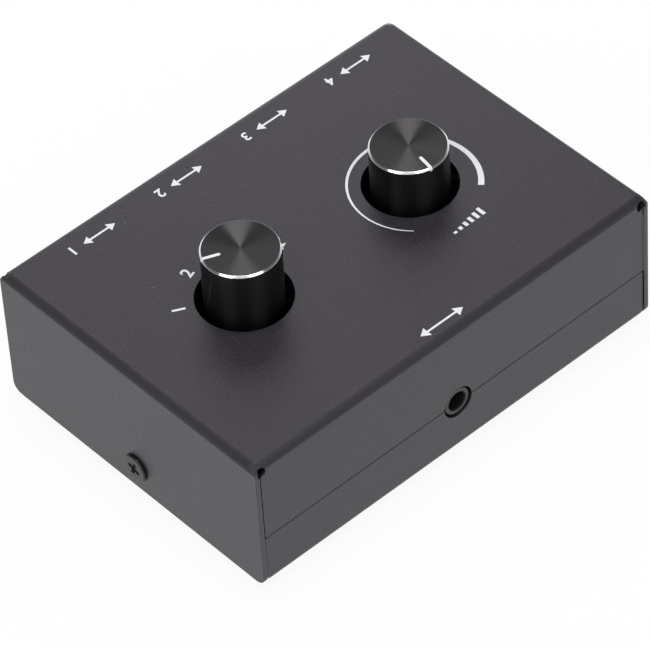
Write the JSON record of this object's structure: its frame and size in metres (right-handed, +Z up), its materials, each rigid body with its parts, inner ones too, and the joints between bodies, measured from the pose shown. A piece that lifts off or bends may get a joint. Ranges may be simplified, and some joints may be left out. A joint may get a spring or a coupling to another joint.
{
  "type": "audio switch box",
  "caption": "Low sheet-metal audio switch box with a stepped source selector knob, a volume knob, a front jack socket and a row of rear jack sockets.",
  "frame": {"origin": "on the table, under the middle of the case", "axes": "+X along the front to the right, -Y out of the front face with the single socket, +Z up out of the knobs"},
  "size_m": [0.0932, 0.0662, 0.0418],
  "materials": {
    "case_paint": "fine black powder coat",
    "screw_black": "black oxide",
    "foot_rubber": "matt black",
    "zinc_steel": "bright zinc",
    "board_green": "solder mask",
    "jack_plastic": "moulded black",
    "contact_metal": "tinned",
    "base_plate": "hard paper",
    "carbon": "carbon film",
    "switch_plastic": "moulded black",
    "can_steel": "nickel",
    "bushing_metal": "nickel",
    "shaft_metal": "turned",
    "rotor_plastic": "natural",
    "wiper_metal": "bare",
    "knob_metal": "black anodised, spun top, bright edge",
    "insert_plastic": "moulded black",
    "pointer_white": "white fill"
  },
  "bodies": {
    "case": {"top_cover": "case_paint", "bottom_cover": "case_paint", "side_screws": "screw_black", "rubber_feet": "foot_rubber", "board_posts": "zinc_steel", "board_screws": "zinc_steel", "circuit_board": "board_green", "front_jack_body": "jack_plastic", "front_jack_contacts": "contact_metal", "rear_jack_1_body": "jack_plastic", "rear_jack_1_contacts": "contact_metal", "rear_jack_2_body": "jack_plastic", "rear_jack_2_contacts": "contact_metal", "rear_jack_3_body": "jack_plastic", "rear_jack_3_contacts": "contact_metal", "rear_jack_4_body": "jack_plastic", "rear_jack_4_contacts": "contact_metal", "selector_base": "base_plate", "selector_pins": "contact_metal", "selector_housing": "switch_plastic", "selector_bushing": "bushing_metal", "selector_detent_ball": "zinc_steel", "selector_detent_spring": "zinc_steel", "volume_base": "base_plate", "volume_tracks": "carbon", "volume_pins": "contact_metal", "volume_can": "can_steel", "volume_bushing": "bushing_metal"},
    "selector": {"selector_shaft": "shaft_metal", "selector_clip": "zinc_steel", "selector_rotor": "rotor_plastic", "selector_wipers": "wiper_metal", "selector_knob": "knob_metal", "selector_knob_insert": "insert_plastic", "selector_pointer": "pointer_white"},
    "volume": {"volume_shaft": "shaft_metal", "volume_clip": "zinc_steel", "volume_carrier": "rotor_plastic", "volume_wipers": "wiper_metal", "volume_knob": "knob_metal", "volume_knob_insert": "insert_plastic", "volume_pointer": "pointer_white"}
  },
  "joints": [
    {"name": "selector_turn", "type": "hinge", "parent": "case", "child": "selector", "pos_m": [-0.0197, -0.0012, 0.03], "axis": [0, 0, 1], "range_deg": [-135, 0]},
    {"name": "volume_turn", "type": "hinge", "parent": "case", "child": "volume", "pos_m": [0.0193, -0.0012, 0.03], "axis": [0, 0, 1], "range_deg": [-300, 0]}
  ]
}
